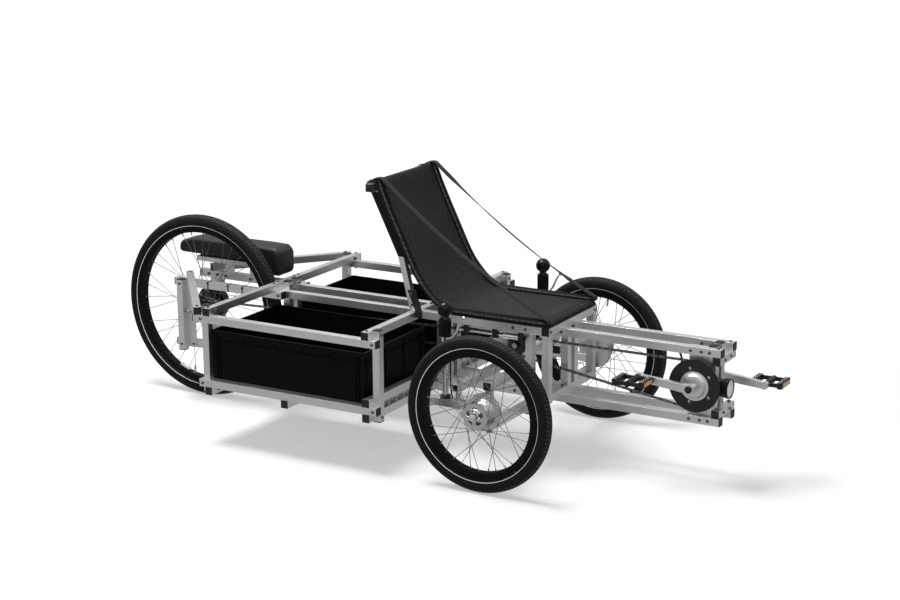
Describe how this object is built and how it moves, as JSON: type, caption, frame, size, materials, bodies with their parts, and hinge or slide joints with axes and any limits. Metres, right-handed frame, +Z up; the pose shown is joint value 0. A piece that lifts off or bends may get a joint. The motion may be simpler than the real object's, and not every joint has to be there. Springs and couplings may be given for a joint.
{
  "type": "recumbent cargo tricycle",
  "caption": "Recumbent cargo tricycle bolted from square aluminium tube, with a mesh sling seat, hand-lever steering, side-loading boxes behind the rider and an electric drive.",
  "frame": {"origin": "on the ground, under the middle of the overall length and width", "axes": "+X towards the front (pedals), +Y towards the rider's left, +Z up"},
  "size_m": [2.4632, 0.951, 0.896],
  "materials": {
    "frame_aluminium": "satin with drawn grain",
    "fasteners": "satin",
    "black_plastic": "fine grain",
    "sling_fabric": "woven mesh with smooth sleeves",
    "webbing": "ribbed webbing",
    "black_paint": "semi-gloss",
    "tyre": "matt with a thin reflective stripe",
    "spoke_steel": "bright",
    "polished_metal": "polished",
    "chain_steel": "oiled",
    "box_plastic": "fine grain",
    "cable_rubber": "smooth",
    "grip_rubber": "soft",
    "deck_grey": "satin"
  },
  "bodies": {
    "frame": {"side_rails": "frame_aluminium", "cargo_cross_tubes": "frame_aluminium", "cargo_posts": "frame_aluminium", "center_beams": "frame_aluminium", "cargo_deck": "deck_grey", "rear_arms": "frame_aluminium", "dropouts": "frame_aluminium", "rear_stays": "frame_aluminium", "seat_rails": "frame_aluminium", "seat_posts": "frame_aluminium", "seat_back_frame": "frame_aluminium", "seat_plates": "black_paint", "boom_tubes": "frame_aluminium", "boom_cross_tubes": "frame_aluminium", "boom_posts": "frame_aluminium", "axle_beams": "frame_aluminium", "pivot_pins": "fasteners", "end_caps": "black_plastic", "frame_bolts": "fasteners", "seat_sling": "sling_fabric", "seat_straps": "webbing", "motor_housing": "black_paint", "motor_brackets": "frame_aluminium", "front_chain": "chain_steel", "rear_chain": "chain_steel", "cable_guides": "polished_metal", "power_cable": "cable_rubber", "headlight": "black_plastic", "battery_mount": "deck_grey", "rear_axle": "fasteners"},
    "rear_wheel": {"rear_tyre": "tyre", "rear_rim": "black_paint", "rear_spokes": "spoke_steel", "rear_hub": "black_paint"},
    "rear_sprocket": {"rear_sprocket": "fasteners"},
    "crankset": {"chainring": "black_paint", "crank_arms": "polished_metal"},
    "near_pedal": {"near_pedal": "black_plastic"},
    "far_pedal": {"far_pedal": "black_plastic"},
    "mid_sprockets": {"mid_sprockets": "chain_steel"},
    "near_box": {"near_box": "box_plastic"},
    "far_box": {"far_box": "box_plastic"},
    "battery": {"battery": "black_plastic"},
    "tie_rod": {"tie_rod": "frame_aluminium"},
    "near_steering": {"near_steering_arm": "frame_aluminium", "near_handle": "grip_rubber", "near_brake_cable": "cable_rubber"},
    "near_wheel": {"near_tyre": "tyre", "near_rim": "black_paint", "near_spokes": "spoke_steel", "near_hub": "polished_metal"},
    "near_brake_lever": {"near_brake_lever": "polished_metal"},
    "far_steering": {"far_steering_arm": "frame_aluminium", "far_handle": "grip_rubber", "far_brake_cable": "cable_rubber"},
    "far_wheel": {"far_tyre": "tyre", "far_rim": "black_paint", "far_spokes": "spoke_steel", "far_hub": "polished_metal"},
    "far_brake_lever": {"far_brake_lever": "polished_metal"}
  },
  "joints": [
    {"name": "rear_wheel_spin", "type": "hinge", "parent": "frame", "child": "rear_wheel", "pos_m": [-0.90168, 0, 0.33], "axis": [0, 1, 0], "continuous": true},
    {"name": "rear_sprocket_spin", "type": "hinge", "parent": "frame", "child": "rear_sprocket", "pos_m": [-0.90168, -0.0435, 0.33], "axis": [0, 1, 0], "continuous": true},
    {"name": "crank_spin", "type": "hinge", "parent": "frame", "child": "crankset", "pos_m": [1.01032, 0, 0.325], "axis": [0, 1, 0], "continuous": true},
    {"name": "near_pedal_spin", "type": "hinge", "parent": "crankset", "child": "near_pedal", "pos_m": [0.84097, -0.147, 0.33982], "axis": [0, 1, 0], "continuous": true},
    {"name": "far_pedal_spin", "type": "hinge", "parent": "crankset", "child": "far_pedal", "pos_m": [1.17968, 0.147, 0.31018], "axis": [0, 1, 0], "continuous": true},
    {"name": "mid_sprocket_spin", "type": "hinge", "parent": "frame", "child": "mid_sprockets", "pos_m": [0.38632, -0.048, 0.37], "axis": [0, 1, 0], "continuous": true},
    {"name": "near_box_slide", "type": "slide", "parent": "frame", "child": "near_box", "axis": [0, -1, 0], "range_m": [0, 0.3]},
    {"name": "far_box_slide", "type": "slide", "parent": "frame", "child": "far_box", "axis": [0, 1, 0], "range_m": [0, 0.3]},
    {"name": "battery_slide", "type": "slide", "parent": "frame", "child": "battery", "axis": [1, 0, 0], "range_m": [0, 0.048]},
    {"name": "near_steer", "type": "hinge", "parent": "frame", "child": "near_steering", "pos_m": [0.45632, -0.36, 0.25], "axis": [0, 0, 1], "range_deg": [-25, 25]},
    {"name": "far_steer", "type": "hinge", "parent": "frame", "child": "far_steering", "pos_m": [0.45632, 0.36, 0.25], "axis": [0, 0, 1], "range_deg": [-25, 25]},
    {"name": "tie_rod_pivot", "type": "hinge", "parent": "near_steering", "child": "tie_rod", "pos_m": [0.33132, -0.335, 0.295], "axis": [0, 0, 1], "range_deg": [-27, 27]},
    {"name": "near_wheel_spin", "type": "hinge", "parent": "near_steering", "child": "near_wheel", "pos_m": [0.45632, -0.4285, 0.25], "axis": [0, 1, 0], "continuous": true},
    {"name": "far_wheel_spin", "type": "hinge", "parent": "far_steering", "child": "far_wheel", "pos_m": [0.45632, 0.4285, 0.25], "axis": [0, 1, 0], "continuous": true},
    {"name": "near_brake_pull", "type": "hinge", "parent": "near_steering", "child": "near_brake_lever", "pos_m": [0.30632, -0.335, 0.45], "axis": [0, -1, 0], "range_deg": [0, 16], "stiffness_Nm_per_rad": 1},
    {"name": "far_brake_pull", "type": "hinge", "parent": "far_steering", "child": "far_brake_lever", "pos_m": [0.30632, 0.335, 0.45], "axis": [0, -1, 0], "range_deg": [0, 16], "stiffness_Nm_per_rad": 1}
  ],
  "couplings": [
    {"joint": "mid_sprocket_spin", "follows": "crank_spin", "ratio": 2.5333},
    {"joint": "rear_sprocket_spin", "follows": "crank_spin", "ratio": 2.5333},
    {"joint": "far_steer", "follows": "near_steer", "ratio": 1},
    {"joint": "tie_rod_pivot", "follows": "near_steer", "ratio": -1.073}
  ]
}
